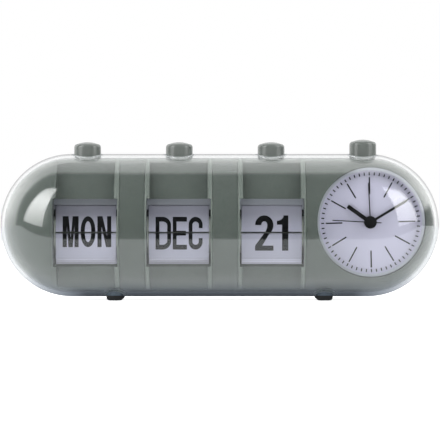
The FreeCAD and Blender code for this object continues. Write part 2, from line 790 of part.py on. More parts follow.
def coil(radius, wire, low, high, turns):
    """Six-sided wire wound about the Z axis, with its ends just inside the two seats."""
    height = high - low - 2 * wire
    helix = Part.makeHelix(height / turns, height, radius)
    corners = []
    for index in range(6):
        angle = math.pi * index / 3
        corners.append(vec(radius + wire * math.cos(angle), 0, wire * math.sin(angle)))
    section = Part.makePolygon(corners + corners[:1])
    spring = Part.Wire(helix).makePipeShell([section], True, True)
    spring.translate(vec(0, 0, low + wire))
    return spring


def make_button_spring(x, y, low):
    spring = coil(spring_radius, spring_wire, low, rod_bottom, spring_turns)
    spring.translate(vec(x, y, 0))
    return spring


# ================================================================ dial, hands and movement

def at_dial(shape):
    shape.translate(vec(dial_x, 0, dial_rise))
    return shape


def ring_y(outer, inner, y_front, y_back):
    """Tube about the Y axis, or a plain disc where the inner radius is nought."""
    solid = rod(outer, (0, y_front, 0), (0, y_back, 0))
    if inner > 0:
        solid = solid.cut(rod(inner, (0, y_front - overrun, 0), (0, y_back + overrun, 0)))
    return solid


def make_dial_plate():
    return at_dial(ring_y(dial_radius, bush_radius + bush_clearance, dial_front_y, dial_back_y))


def make_dial_bezel():
    outer = dial_radius
    return at_dial(ring_y(outer, outer - bezel_width, dial_front_y - bezel_height, dial_front_y))


def bush_bore():
    return bush_radius - bush_wall


def make_movement():
    """Closed case with rounded corners, the bush for the hands and two sockets for the knobs."""
    half = movement_size / 2
    straight = half - movement_corner
    solids = []
    for wide, high in ((half, straight), (straight, half)):
        solids.append(block((-wide, wide), (well_back_y, movement_back_y), (-high, high)))
    for side_x in (-1, 1):
        for side_z in (-1, 1):
            spot = (side_x * straight, side_z * straight)
            solids.append(rod(movement_corner, (spot[0], well_back_y, spot[1]),
                              (spot[0], movement_back_y, spot[1])))
    solids.append(rod(bush_radius, (0, dial_front_y - bush_proud, 0), (0, well_back_y, 0)))
    case = at_dial(fuse(solids))
    bore_end = well_back_y + knob_seat_depth
    cuts = [rod(bush_bore(), (dial_x, -far, dial_rise), (dial_x, bore_end, dial_rise))]
    for side in (-1, 1):
        x = dial_x + side * knob_spread
        start = movement_back_y - knob_seat_depth - 2 * side_play
        cuts.append(rod(knob_stem_radius + running_fit, (x, start, 0), (x, far, 0)))
    return case.cut(cuts)


def hand_levels():
    """Front and back of each hand's blade, counted forward from the bush."""
    levels = {}
    y = dial_front_y - bush_proud
    for name, thickness in (("alarm", alarm_thickness), ("hour", hour_thickness),
                            ("minute", minute_thickness), ("second", second_thickness)):
        back = y - hand_gap
        levels[name] = (back - thickness, back)
        y = back - thickness
    return levels


def tube_radii():
    """Outer and inner radius of each hand's tube; they turn one inside the other in the bush."""
    radii = {}
    outer = bush_bore() - tube_play
    for name in ("alarm", "hour", "minute"):
        inner = outer - tube_wall
        radii[name] = (outer, inner)
        outer = inner - tube_play
    radii["second"] = (outer, 0)
    return radii


def make_hand(name, length, width, angle, hub, tail=0.0):
    """Straight blade with a round hub and a tube back into the bush."""
    front, back = hand_levels()[name]
    outer, inner = tube_radii()[name]
    bore_end = well_back_y + knob_seat_depth - side_play
    tube_back = min(well_back_y + overrun + outer / 2, bore_end)
    blade = block((-width / 2, width / 2), (front, back), (-tail, length))
    disc = rod(hub, (0, front, 0), (0, back, 0))
    tube = rod(outer, (0, back, 0), (0, tube_back, 0))
    solids = [blade, disc, tube]
    if name == "second":
        solids.append(rod(second_hub_radius, (0, front - second_hub_height, 0), (0, front, 0)))
    hand = fuse(solids)
    if inner > 0:
        hand = hand.cut(rod(inner, (0, -far, 0), (0, far, 0)))
    hand.rotate(vec(0, 0, 0), vec(0, 1, 0), angle)
    return at_dial(hand)


def make_knob(side, radius):
    """Round knob with a grooved edge and a long stem through the case to the movement."""
    x = dial_x + side * knob_spread
    front = knob_well_floor_y + knob_gap
    cap = rod(radius, (x, front, 0), (x, front + knob_height, 0))
    outer_edges = [edge for edge in cap.Edges if edge.BoundBox.YMin > front + knob_height / 2]
    cap = cap.makeChamfer(knob_chamfer, outer_edges)
    grooves = []
    for index in range(knob_ribs):
        turn = 2 * math.pi * index / knob_ribs
        spot = (x + radius * math.cos(turn), radius * math.sin(turn))
        groove = rod(knob_rib_depth, (spot[0], front, spot[1]), (spot[0], front + knob_height, spot[1]))
        grooves.append(groove)
    stem = rod(knob_stem_radius, (x, movement_back_y - knob_seat_depth, 0), (x, front, 0))
    return fuse([cap.cut(grooves), stem])


# ================================================================ board, switch and battery

def make_board():
    half = movement_size / 2 - board_margin
    return block((dial_x - half, dial_x + half), (movement_back_y, board_back_y), (board_low, board_high))


def make_buzzer():
    x = dial_x + movement_size / 2 - board_margin - buzzer_radius
    z = (board_low + board_high) / 2
    body = rod(buzzer_radius, (x, board_back_y, z), (x, board_back_y + buzzer_height, z))
    hole = rod(buzzer_hole_radius, (x, board_back_y + buzzer_height / 2, z), (x, far, z))
    return body.cut(hole)


def make_alarm_switch(x):
    """Self-locking push switch: a body on the board and a plunger up to the alarm push rod."""
    y = switch_back_y - switch_depth / 2
    body = block((x - switch_width / 2, x + switch_width / 2), (board_back_y, switch_back_y),
                 (switch_low, bridge_top))
    return body.cut(rod(plunger_radius + running_fit, (x, y, switch_low + switch_floor), (x, y, far)))


def make_switch_plunger(x):
    y = switch_back_y - switch_depth / 2
    low = bridge_top - 2 * button_travel
    return rod(plunger_radius, (x, y, low), (x, y, rod_bottom))


def make_cell():
    start = cell_start()
    can = rod(cell_radius, (start, cell_y, 0), (start + cell_length, cell_y, 0))
    nub_end = start + cell_length + cell_nub
    nub = rod(cell_nub_radius, (start + cell_length, cell_y, 0), (nub_end, cell_y, 0))
    return fuse([can, nub])


def cell_start():
    """The cell's flat end; its nub touches the plate at the other end of the pocket."""
    return pocket_length / 2 - contact_thickness - cell_nub - cell_length


def make_positive_contact():
    x = pocket_length / 2
    half = contact_width / 2
    return block((x - contact_thickness, x), (pocket_floor_y, pocket_floor_y + contact_width + contact_rise),
                 (-half, half))


def make_negative_contact():
    """Plate at the end of the pocket with a coil that presses on the cell."""
    x = -pocket_length / 2
    half = contact_width / 2
    plate = block((x, x + contact_thickness), (pocket_floor_y, pocket_floor_y + contact_width + contact_rise),
                  (-half, half))
    low = x + contact_thickness
    middle = cell_radius - contact_coil_inset
    spring = coil(middle, spring_wire, low - spring_wire, cell_start(), negative_turns)
    spring.rotate(vec(0, 0, 0), vec(0, 1, 0), 90)
    spring.translate(vec(0, cell_y, 0))
    return Part.makeCompound([plate, spring])


def make_lead(points):
    """Round wire through a row of points, with ball-shaped bends."""
    solids = []
    for start, end in zip(points, points[1:]):
        solids.append(rod(lead_radius, start, end))
    for point in points[1:-1]:
        solids.append(Part.makeSphere(lead_radius, vec(*point)))
    return fuse(solids)


def make_leads():
    """One lead from each contact, through the pocket's end wall, to the circuit board."""
    side_x = pocket_length / 2 + pocket_wall + lead_run_out
    run_y = pocket_floor_y - pocket_floor - lead_run_out
    board_x = dial_x - movement_size / 2 + board_margin + lead_board_inset
    low_z = board_low + lead_board_inset
    high_z = low_z + lead_spacing
    turn_y = board_back_y + lead_spacing
    positive = make_lead([
        (pocket_length / 2, lead_start_y, 0), (side_x, lead_start_y, 0), (side_x, run_y, low_z),
        (board_x, turn_y, low_z), (board_x, board_back_y, low_z)])
    negative = make_lead([
        (-pocket_length / 2, lead_start_y, 0), (-side_x, lead_start_y, 0), (-side_x, run_y, high_z),
        (side_x, run_y, high_z), (board_x, turn_y, high_z), (board_x, board_back_y, high_z)])
    return Part.makeCompound([positive, negative])


# ================================================================ the whole clock

def build():
    parts["clear_cover"] = make_clear_cover()
    parts["front_housing"] = make_front_housing()
    parts["rear_case"] = make_rear_case()
    parts["battery_door"] = make_battery_door()
    parts["feet"] = make_feet()
    parts["case_screws"] = make_screws()
    for name, index, count in calendar_counts:
        x = first_button_x + button_pitch * index
        parts[name + "_cassette"] = make_cassette(x)
        parts[name + "_card_stop"] = make_card_stop(x)
        parts[name + "_axle"] = make_axle(x)
        parts[name + "_drum"] = make_drum(x, count)
        parts[name + "_ratchet_wheel"] = make_ratchet_wheel(x, count)
        parts[name + "_leaf_pack"] = make_leaf_pack(x, count)
        parts[name + "_front_leaf"] = make_card(x, 0, count)
        parts[name + "_button"] = make_button(x, button_top)
        parts[name + "_push_rod"] = make_push_rod(x, count)
        parts[name + "_button_spring"] = make_button_spring(x, button_y, bridge_top)
    x = alarm_button_x
    parts["alarm_button"] = make_button(x, button_top + alarm_button_extra)
    parts["alarm_push_rod"] = make_alarm_rod(x)
    parts["alarm_button_spring"] = make_button_spring(x, switch_back_y - switch_depth / 2, bridge_top)
    parts["alarm_switch"] = make_alarm_switch(x)
    parts["switch_plunger"] = make_switch_plunger(x)
    parts["dial_plate"] = make_dial_plate()
    parts["dial_bezel"] = make_dial_bezel()
    parts["movement_case"] = make_movement()
    parts["alarm_hand"] = make_hand("alarm", alarm_length, alarm_width, alarm_angle, hand_hub_radius)
    parts["hour_hand"] = make_hand("hour", hour_length, hour_width, hour_angle, hand_hub_radius)
    parts["minute_hand"] = make_hand("minute", minute_length, minute_width, minute_angle, hand_hub_radius)
    parts["second_hand"] = make_hand("second", second_length, second_width, second_angle,
                                     hand_hub_radius, second_tail)
    parts["time_set_knob"] = make_knob(1, time_knob_radius)
    parts["alarm_set_knob"] = make_knob(-1, alarm_knob_radius)
    parts["circuit_board"] = make_board()
    parts["buzzer"] = make_buzzer()
    parts["battery_cell"] = make_cell()
    parts["positive_contact"] = make_positive_contact()
    parts["negative_contact"] = make_negative_contact()
    parts["battery_leads"] = make_leads()


build()
os.makedirs("parts", exist_ok=True)
for name, shape in parts.items():
    shape.translate(vec(0, 0, axis_height))
    shape.exportStep("parts/" + name + ".step")
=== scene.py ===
"""Desk clock with calendar: finishes, lettering, dial print, springs, table, light and camera."""

import json
import math

import bmesh
import bpy
import numpy as np
from mathutils import Matrix, Vector


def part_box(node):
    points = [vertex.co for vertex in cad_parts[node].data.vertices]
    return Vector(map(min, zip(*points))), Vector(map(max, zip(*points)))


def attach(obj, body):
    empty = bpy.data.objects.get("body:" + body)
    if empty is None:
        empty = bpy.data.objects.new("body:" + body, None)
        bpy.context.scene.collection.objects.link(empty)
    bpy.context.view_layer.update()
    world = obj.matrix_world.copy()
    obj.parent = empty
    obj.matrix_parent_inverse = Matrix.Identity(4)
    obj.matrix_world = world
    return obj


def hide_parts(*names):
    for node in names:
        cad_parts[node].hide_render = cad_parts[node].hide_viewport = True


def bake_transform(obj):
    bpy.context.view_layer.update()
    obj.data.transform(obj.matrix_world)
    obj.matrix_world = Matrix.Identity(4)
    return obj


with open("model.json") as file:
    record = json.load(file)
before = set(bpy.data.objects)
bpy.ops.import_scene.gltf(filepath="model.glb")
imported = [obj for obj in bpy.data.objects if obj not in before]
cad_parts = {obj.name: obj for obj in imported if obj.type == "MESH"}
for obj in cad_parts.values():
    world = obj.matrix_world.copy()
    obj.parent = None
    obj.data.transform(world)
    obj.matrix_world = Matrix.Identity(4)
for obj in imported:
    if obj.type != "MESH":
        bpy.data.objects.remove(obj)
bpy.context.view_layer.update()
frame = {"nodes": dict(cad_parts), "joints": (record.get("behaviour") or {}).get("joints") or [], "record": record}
nodes = frame["nodes"]
joints = {joint["name"]: joint for joint in frame["joints"]}

CALENDARS = {              # the word that shows, and the one that the next press brings
    "weekday": ("MON", "TUE"),
    "month": ("DEC", "JAN"),
    "date": ("21", "22"),
}
BUTTONS = [*CALENDARS, "alarm"]


# ------------------------------------------------------------------ sizes

MM = 0.001
SHARP = 0.1 * MM           # blur of a clear-cut edge

BUTTON_FLOOR = 60 * MM     # the buttons and the holes for them are above this level
HOLE_EDGE = 8.8 * MM       # from a button's axis to the edge of the frosted ring
STEM_RADIUS = 7.55 * MM    # just outside the stems
STEM_TOP = 79.4 * MM
CAP_LEVEL = 80 * MM        # half way up the change from the housing's finish to the caps'
FOOT_RADIUS = 4.7 * MM
FOOT_CEILING = 20 * MM     # the feet and the holes for them are below this level
CARRIER_LEVEL = 2.8 * MM   # a foot is rubber below this level, and its carrier above

RIB_CENTRE = 42 * MM       # level of the axis that the ribs curve round
RIB_PROUD = 0.45 * MM
RIB_BACK = -5 * MM         # the ribs are in front of this depth
RIB_START = 15.8 * MM      # from the middle of a card to the nearer side of a rib
RIB_WIDTH = 3.2 * MM
TIP_TOP = 50.6 * MM        # the finger tips of the card stops are below this level
STOP_SHADE = 0.07          # painted shade on the card stops at the middle of the clock
STOP_FALL = 3.0            # and what it loses with each metre to the right

CARD_SHADE_LEVEL = 44 * MM       # half way up the painted shade at the top of the cards
CARD_SHADE_BLUR = 9 * MM
CARD_SHADE_STRENGTH = 0.38          # its strength at the middle of the clock
CARD_SHADE_FALL = 2.3            # and what it loses with each metre to the right
SPLIT_SHADE_START = 36.9 * MM     # the painted shade under the split begins here
SPLIT_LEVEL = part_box("month_front_leaf")[0].z - SHARP
CARD_FOOT = 23.5 * MM      # the cards glow with painted light below this level
LEAF_PITCH = 1.15 * MM     # between the painted shade lines that stand for the edges of the cards there
LEAF_ZONE = 1.2 * MM       # the lines reach this far above CARD_FOOT

SHADE_INNER = 23.5 * MM    # radii on the dial between which its upper right has painted shade
SHADE_OUTER = 26.8 * MM
RIM_RADIUS = 25.2 * MM     # from here outwards the whole rim has a little painted shade
DIAL_TOP_SHADE = 8 * MM    # the painted shade at the top of the dial is half as strong this far below it

LEAD_LEVEL = 50.5 * MM     # the positive lead is below this level
CELL_COPPER = 14 * MM      # from the cell's right end to where its copper colour begins
CELL_NUB = 1.1 * MM        # and to where its bare nub begins


# ------------------------------------------------------------------ shader maths

class Level:
    """One value in a node tree; sums, products and powers of it add Math nodes."""

    def __init__(self, finish, socket):
        self.finish = finish
        self.socket = socket

    def maths(self, operation, *others):
        values = [self.socket, *others]
        return Level(self.finish, self.finish.node("ShaderNodeMath", {"operation": operation}, values))

    def __add__(self, other):
        return self.maths("ADD", other)

    __radd__ = __add__

    def __mul__(self, other):
        return self.maths("MULTIPLY", other)

    __rmul__ = __mul__

    def __sub__(self, other):
        return self.maths("SUBTRACT", other)

    def __rsub__(self, other):
        return (self * -1) + other

    def __truediv__(self, other):
        return self.maths("DIVIDE", other)

    def __pow__(self, other):
        return self.maths("POWER", other)

    def size(self):
        """The value without its sign."""
        return self.maths("ABSOLUTE")

    def above(self, edge, blur):
        """0 below the edge and 1 above it, with a straight rise across the edge as long as the blur."""
        return ((self - (edge - blur / 2)) / blur).kept()

    def kept(self):
        """Kept between 0 and 1."""
        return self.maths("MAXIMUM", 0.0).maths("MINIMUM", 1.0)


class Finish:
    """A material, or the world, and the one way in which nodes are added to it."""

    def __init__(self, owner):
        owner.use_nodes = True
        self.owner = owner
        self.tree = owner.node_tree
        self.tree.nodes.clear()

    def node(self, kind, settings=None, inputs=(), output=0):
        """Adds a node: its settings first, then its inputs by number or by name.

        It gives the output asked for by number or by name, or all of them when output is None.
        """
        made = self.tree.nodes.new(kind)
        for name, value in (settings or {}).items():
            setattr(made, name, value)
        pairs = inputs.items() if isinstance(inputs, dict) else enumerate(inputs)
        for name, value in pairs:
            socket = made.inputs[name]
            if isinstance(value, Level):
                value = value.socket
            if isinstance(value, bpy.types.NodeSocket):
                self.tree.links.new(value, socket)
            elif hasattr(value, "__len__") and len(value) == 3 and len(socket.default_value) == 4:
                socket.default_value = (*value, 1)
            else:
                socket.default_value = value
        return made.outputs if output is None else made.outputs[output]

    def level(self, kind, settings=None, inputs=(), output=0):
        """Adds a node whose output is one value."""
        return Level(self, self.node(kind, settings, inputs, output))

    def place(self):
        """Object coordinates: metres in the clock's own frame."""
        return self.node("ShaderNodeTexCoord", output="Object")

    def axes(self, vector):
        """The three parts of a vector, as levels."""
        parts = self.node("ShaderNodeSeparateXYZ", {}, [vector], output=None)
        return [Level(self, part) for part in parts]

    def rays(self, *kinds):
        """For each kind of ray, a level that is 1 for such rays and 0 for others."""
        path = self.node("ShaderNodeLightPath", output=None)
        return [Level(self, path[f"Is {kind} Ray"]) for kind in kinds]

    def grain(self, vector, scale, detail):
        """Noise between 0 and 1 with this many cells to the metre, and finer ones with more detail."""
        return self.level("ShaderNodeTexNoise", {}, {"Vector": vector, "Scale": scale, "Detail": detail})

    def blend(self, share, first, second):
        """One colour fading into another."""
        colours = {0: share, 6: first, 7: second}
        return self.node("ShaderNodeMix", {"data_type": "RGBA"}, colours, output=2)

    def bump(self, height, strength, distance):
        """Relief of this height, where 1 stands for the distance."""
        relief = {"Height": height, "Strength": strength, "Distance": distance}
        return self.node("ShaderNodeBump", {}, relief)

    def glow(self, colour, strength):
        """A shader that gives light of its own and nothing else."""
        return self.node("ShaderNodeEmission", {}, {"Color": colour, "Strength": strength})

    def shader(self, **inputs):
        """The Principled shader; underscores in the names stand for spaces."""
        named = {name.replace("_", " "): value for name, value in inputs.items()}
        return self.node("ShaderNodeBsdfPrincipled", {}, named)

    def show(self, shader):
        """Joins a shader to the output and gives back the finished material or world."""
        world = isinstance(self.owner, bpy.types.World)
        kind = "ShaderNodeOutputWorld" if world else "ShaderNodeOutputMaterial"
        self.node(kind, {}, {"Surface": shader}, output=None)
        return self.owner


def material_finish(name):
    """The finish of a new material."""
    return Finish(bpy.data.materials.new(name))


def grey(level):
    """A grey as a linear colour."""
    return (level, level, level)


def from_screen(red, green, blue):
    """Linear colour from the three 0 to 255 values that a screen shows."""
    def linear(value):
        share = value / 255
        return share / 12.92 if share <= 0.04045 else ((share + 0.055) / 1.055) ** 2.4
    return linear(red), linear(green), linear(blue)


# ------------------------------------------------------------------ where a place is on the clock

def middle(name):
    """Centre of the box round a piece."""
    low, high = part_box(name)
    return (low + high) / 2


def length(first, second):
    """Length of a flat vector: the root of the sum of its squared parts."""
    return (first ** 2 + second ** 2) ** 0.5


def least(levels):
    """The smallest of several levels."""
    smallest = levels[0]
    for level in levels[1:]:
        smallest = smallest.maths("MINIMUM", level)
    return smallest


def from_buttons(across, deep):
    """Distance from the axis of the nearest push button."""
    centres = [middle(name + "_button") for name in BUTTONS]
    return least([length(across - centre.x, deep - centre.y) for centre in centres])


def from_front_feet(across, deep):
    """Distance from the axis of the nearer front foot."""
    low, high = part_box("feet")
    return length(across.size() - (high.x - FOOT_RADIUS), deep - (low.y + FOOT_RADIUS))


def on_dial(across, up):
    """Distance from the dial's centre, and how far a place is towards its upper right, 0 to 1.

    The second is the sum of the steps to the right and upwards, over the distance: 1 at 45 degrees.
    """
    centre = middle("dial_plate")
    aside, above = across - centre.x, up - centre.z
    radius = length(aside, above)
    return radius, ((aside + above) / radius * 0.7).kept()


def on_ribs(across, deep, up):
    """1 on the raised ribs beside the calendar windows, 0 elsewhere.

    A rib stands proud of the round front, in a band on each side of the middle of the nearest card.
    """
    aside = least([(across - middle(name + "_front_leaf").x).size() for name in CALENDARS])
    rib_radius = -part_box("month_cassette")[0].y
    proud = length(deep, up - RIB_CENTRE).above(rib_radius - RIB_PROUD, SHARP)
    in_front = 1 - deep.above(RIB_BACK, 1 * MM)
    band = aside.above(RIB_START, SHARP) * (1 - aside.above(RIB_START + RIB_WIDTH, SHARP))
    return proud * in_front * band


# ------------------------------------------------------------------ finishes of the mouldings

SAGE = from_screen(89, 95, 91)
# painted highlights: pale tones that stand for light caught by the ribs and the button stems
RIB_HIGHLIGHT = from_screen(114, 121, 116)
STEM_HIGHLIGHT = grey(0.6)


def mould_skin(finish, place, colour, roughness, shade=0.05):
    """Tone, gloss and relief of a moulding: fine mould grain, slight flow shading and patchy gloss."""
    cloud = finish.grain(place, 22, 3)
    flow = finish.grain(place, 160, 2)
    fine = finish.grain(place, 4000, 1)
    darker = tuple(part * (1 - shade) for part in colour)
    lighter = tuple(min(1, part * (1 + shade)) for part in colour)
    tone = finish.blend((cloud * 0.7 + flow * 0.3 - 0.25) * 2, darker, lighter)
    gloss = roughness + (flow - 0.5) * roughness * shade * 4 + (fine - 0.5) * roughness * 0.3
    relief = finish.bump(fine + flow * 0.6, 0.5, 0.006 * MM)
    return tone, gloss, relief


def moulded(name, colour, roughness):
    """Plain injection-moulded plastic."""
    finish = material_finish(name)
    tone, gloss, relief = mould_skin(finish, finish.place(), colour, roughness)
    return finish.show(finish.shader(Base_Color=tone, Roughness=gloss, Normal=relief))


def sage_housing():
    """Green plastic with a trace of lacquer, for the housing and the buttons.

    The button caps are a little glossier, and a little lighter by painted light, as they stand outside the
    clear cover. Their stems and the ribs beside the windows are pale with painted highlights.
    """
    finish = material_finish("green_plastic")
    place = finish.place()
    across, deep, up = finish.axes(place)
    tone, gloss, relief = mould_skin(finish, place, SAGE, 0.28, shade=0.012)
    cap = up.above(CAP_LEVEL, 2 * MM)
    stem = (1 - up.above(STEM_TOP, 0.4 * MM)) * up.above(BUTTON_FLOOR, 1 * MM)
    stem = stem * (1 - from_buttons(across, deep).above(STEM_RADIUS, SHARP))
    # painted light: the caps above the clear cover are a little lighter
    tone = finish.blend(cap * 0.05, tone, grey(0.8))
    # painted highlight: the stems under the caps are pale
    tone = finish.blend(stem, tone, STEM_HIGHLIGHT)
    # painted highlight on the ribs beside the windows
    tone = finish.blend(on_ribs(across, deep, up), tone, RIB_HIGHLIGHT)
    return finish.show(finish.shader(Base_Color=tone, Roughness=gloss - cap * 0.04, Normal=relief,
                                     Coat_Weight=0.1, Coat_Roughness=0.06))


def dial_ring():
    """Pale grey plastic of the ring round the dial, with painted shade towards its upper right."""
    finish = material_finish("ring")
    place = finish.place()
    across, _, up = finish.axes(place)
    tone, gloss, relief = mould_skin(finish, place, from_screen(191, 193, 204), 0.4)
    _, upper_right = on_dial(across, up)
    # painted shade towards the upper right of the ring
    tone = finish.blend(upper_right * 0.25, tone, grey(0))
    return finish.show(finish.shader(Base_Color=tone, Roughness=gloss, Normal=relief,
                                     Specular_IOR_Level=0.3))


def card_stop():
    """Pale moulding with painted shade that grows towards the left; the finger tips, low beside the cards, are
    black.
    """
    finish = material_finish("stop_plastic")
    place = finish.place()
    across, _, up = finish.axes(place)
    fine = finish.grain(place, 4000, 1)
    cloud = finish.grain(place, 90, 2)
    # the pale grey is partly painted shade: it is darkened for the shade under the top of the window
    pale = finish.blend(cloud, from_screen(156, 158, 169), from_screen(164, 166, 176))
    # painted shade, stronger towards the left
    pale = finish.blend((STOP_SHADE - across * STOP_FALL).kept(), pale, grey(0))
    tone = finish.blend(up.above(TIP_TOP, SHARP), (0.006, 0.006, 0.008), pale)
    return finish.show(finish.shader(Base_Color=tone, Roughness=0.5 + (fine - 0.5) * 0.15))


def clear_cover():
    """Polished clear moulding: darker where it is seen edge on, frosted round the holes for the buttons.

    It glows faintly with painted light in the frosted rings and round the holes for the front feet.
    Light from lamps and from matt surfaces passes straight through.
    """
    finish = material_finish("clear_plastic")
    place = finish.place()
    across, deep, up = finish.axes(place)
    near_buttons = 1 - from_buttons(across, deep).above(HOLE_EDGE, 0.8 * MM)
    frosted = near_buttons * up.above(BUTTON_FLOOR, 2 * MM)
    near_feet = 1 - from_front_feet(across, deep).above(FOOT_RADIUS + 1.6 * MM, 4.2 * MM)
    footed = near_feet * (1 - up.above(FOOT_CEILING, 2 * MM))
    facing = finish.level("ShaderNodeLayerWeight", {}, {"Blend": 0.5}, output="Facing")
    tint = finish.blend((facing * 1.18).kept() ** 5, (0.97, 0.985, 0.98), (0.40, 0.41, 0.43))
    # painted light: a faint glow round the front feet and in the frosted rings round the buttons
    glow = finish.blend(footed * 0.2, grey(0), (0.75, 0.88, 1.0))
    glow = finish.blend(frosted, glow, (0.28, 0.30, 0.32))
    clear = finish.shader(Base_Color=tint, Roughness=(frosted + footed).kept() * 0.5 + 0.01, IOR=1.49,
                          Transmission_Weight=1.0, Emission_Color=glow, Emission_Strength=0.22,
                          Normal=finish.bump(finish.grain(place, 18, 1), 0.2, 0.01 * MM))
    shadow, matt = finish.rays("Shadow", "Diffuse")
    passing = shadow.maths("MAXIMUM", matt)
    open_way = finish.node("ShaderNodeBsdfTransparent", {}, [(0.93, 0.945, 0.94)])
    return finish.show(finish.node("ShaderNodeMixShader", {}, [passing, clear, open_way]))


def foot_rubber():
    """Matt black rubber with a blasted skin, on a blue-grey carrier inside the hole of the cover."""
    finish = material_finish("foot_rubber")
    place = finish.place()
    _, _, up = finish.axes(place)
    skin = finish.grain(place, 3500, 3)
    cloud = finish.grain(place, 250, 2)
    tone = finish.blend(cloud, grey(0.008), grey(0.018))
    tone = finish.blend(up.above(CARRIER_LEVEL, 0.3 * MM), tone, from_screen(86, 98, 110))
    return finish.show(finish.shader(Base_Color=tone, Roughness=0.7 + (skin - 0.5) * 0.2,
                                     Normal=finish.bump(skin, 0.6, 0.02 * MM)))


# ------------------------------------------------------------------ finishes of the cards and the dial

CARD_DARK = from_screen(190, 188, 209)
CARD_LIGHT = from_screen(196, 194, 213)
DIAL_DARK = from_screen(211, 207, 231)
DIAL_LIGHT = from_screen(216, 212, 235)


def card_stock():
    """Matt white plastic card with a soft tint and a fine calendered grain.

    It carries painted shade towards the top of the opening, most at the left, and just under the split.
    Below CARD_FOOT it glows with painted light, crossed by thin painted shade lines for the cards' edges.
    """
    finish = material_finish("card")
    place = finish.place()
    across, _, up = finish.axes(place)
    fine = finish.grain(place, 5200, 2)
    cloud = finish.grain(place, 60, 2)
    # painted shade at the top of the opening, strongest at the left
    painted_top_shade = up.above(CARD_SHADE_LEVEL, CARD_SHADE_BLUR) * (CARD_SHADE_STRENGTH - across * CARD_SHADE_FALL).kept()
    # painted shade just under the split
    split_shade = up.above(SPLIT_SHADE_START, 0.8 * MM) * (1 - up.above(SPLIT_LEVEL, SHARP)) * 0.28
    # thin painted shade lines for the lower edges of the cards behind the front one
    edges = (up / LEAF_PITCH).maths("FRACT").above(0.78, 0.2)
    edges = edges * (1 - up.above(CARD_FOOT + LEAF_ZONE, SHARP))
    # painted light: the foot of the card glows, less on those lines
    lower = (1 - up.above(CARD_FOOT, 0.4 * MM)) * (1 - edges * 0.5)
    tone = finish.blend(cloud, CARD_DARK, CARD_LIGHT)
    tone = finish.blend(painted_top_shade + split_shade, tone, grey(0.02))
    tone = finish.blend(edges * 0.25, tone, grey(0.05))
    return finish.show(finish.shader(Base_Color=tone, Roughness=0.55 + (fine - 0.5) * 0.15,
                                     Normal=finish.bump(fine, 0.35, 0.008 * MM), Emission_Strength=0.14,
                                     Emission_Color=finish.blend(lower, grey(0), (0.93, 0.92, 1.0))))


def dial_paint():
    """Matt lacquered dial, faintly clouded, with painted shade to the right, to the top and under the minute
    marks.

    The painted shade is strongest near the rim, above and to the right of the hands.
    """
    finish = material_finish("dial")
    place = finish.place()
    across, _, up = finish.axes(place)
    fine = finish.grain(place, 4200, 2)
    cloud = finish.grain(place, 45, 2)
    low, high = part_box("dial_plate")
    radius, upper_right = on_dial(across, up)
    # painted shade round the rim, more at its upper right
    inside = radius.above(SHADE_INNER, 5 * MM) * (1 - radius.above(SHADE_OUTER, 1.6 * MM))
    rim = radius.above(RIM_RADIUS, 2 * MM) * 0.08 + inside * upper_right * 0.24
    # painted shade towards the right and at the top
    right = ((across - low.x) / (high.x - low.x) * 1.2).kept() * 0.2
    top = up.above(high.z - DIAL_TOP_SHADE, 10 * MM) * 0.12
    tone = finish.blend(cloud, DIAL_DARK, DIAL_LIGHT)
    tone = finish.blend(rim + right + top, tone, grey(0))
    return finish.show(finish.shader(Base_Color=tone, Roughness=0.5 + (fine - 0.5) * 0.1,
                                     Normal=finish.bump(fine, 0.3, 0.006 * MM)))


def hand_paint():
    """Thin black paint sprayed on the metal hands, with a trace of orange peel."""
    finish = material_finish("black_hands")
    place = finish.place()
    peel = finish.grain(place, 2600, 2)
    speck = finish.grain(place, 900, 2)
    black = (0.006, 0.006, 0.007)
    tone = finish.blend(speck, black, tuple(part * 1.35 for part in black))
    return finish.show(finish.shader(Base_Color=tone, Roughness=0.35 + (peel - 0.5) * 0.12,
                                     Normal=finish.bump(peel, 0.3, 0.004 * MM)))


def printed_ink():
    """Black screen print, a little uneven in gloss."""
    finish = material_finish("printed_ink")
    speck = finish.grain(finish.place(), 3000, 2)
    tone = finish.blend(speck, (0.003, 0.003, 0.004), (0.006, 0.006, 0.008))
    return finish.show(finish.shader(Base_Color=tone, Roughness=0.5 + (speck - 0.5) * 0.2,
                                     Specular_IOR_Level=0.2))


# ------------------------------------------------------------------ finishes of the works

def drawn_steel(name, colour, roughness, along=0):
    """Bright steel with fine drawing lines along one axis: noise stretched along it 25 times."""
    finish = material_finish(name)
    cells = [6000.0, 6000.0, 6000.0]
    cells[along] = 240.0
    stretched = finish.node("ShaderNodeVectorMath", {"operation": "MULTIPLY"}, [finish.place(), cells])
    lines = finish.grain(stretched, 1.0, 3)
    gloss = roughness + (lines - 0.5) * 0.15
    tone = finish.blend(lines, tuple(part * 0.88 for part in colour), colour)
    return finish.show(finish.shader(Base_Color=tone, Metallic=1.0, Roughness=gloss,
                                     Normal=finish.bump(lines, 0.4, 0.004 * MM)))


def circuit_laminate():
    """Green lacquered laminate with a faint weave and copper tracks under the lacquer.

    The weave is the sum of two sines, and the tracks run along the borders of Voronoi cells.
    """
    finish = material_finish("board")
    place = finish.place()
    across, _, up = finish.axes(place)
    weave = ((across * 2600).maths("SINE") + (up * 2600).maths("SINE")) * 0.25 + 0.5
    border = finish.level("ShaderNodeTexVoronoi", {"feature": "DISTANCE_TO_EDGE"},
                          {"Vector": place, "Scale": 320}, output="Distance")
    track = 1 - border.above(0.07, 0.02)
    base = finish.blend(weave, (0.012, 0.07, 0.03), (0.018, 0.10, 0.04))
    tone = finish.blend(track * 0.8, base, (0.05, 0.20, 0.07))
    return finish.show(finish.shader(Base_Color=tone, Roughness=0.3 + weave * 0.1,
                                     Normal=finish.bump(track, 0.4, 0.02 * MM)))


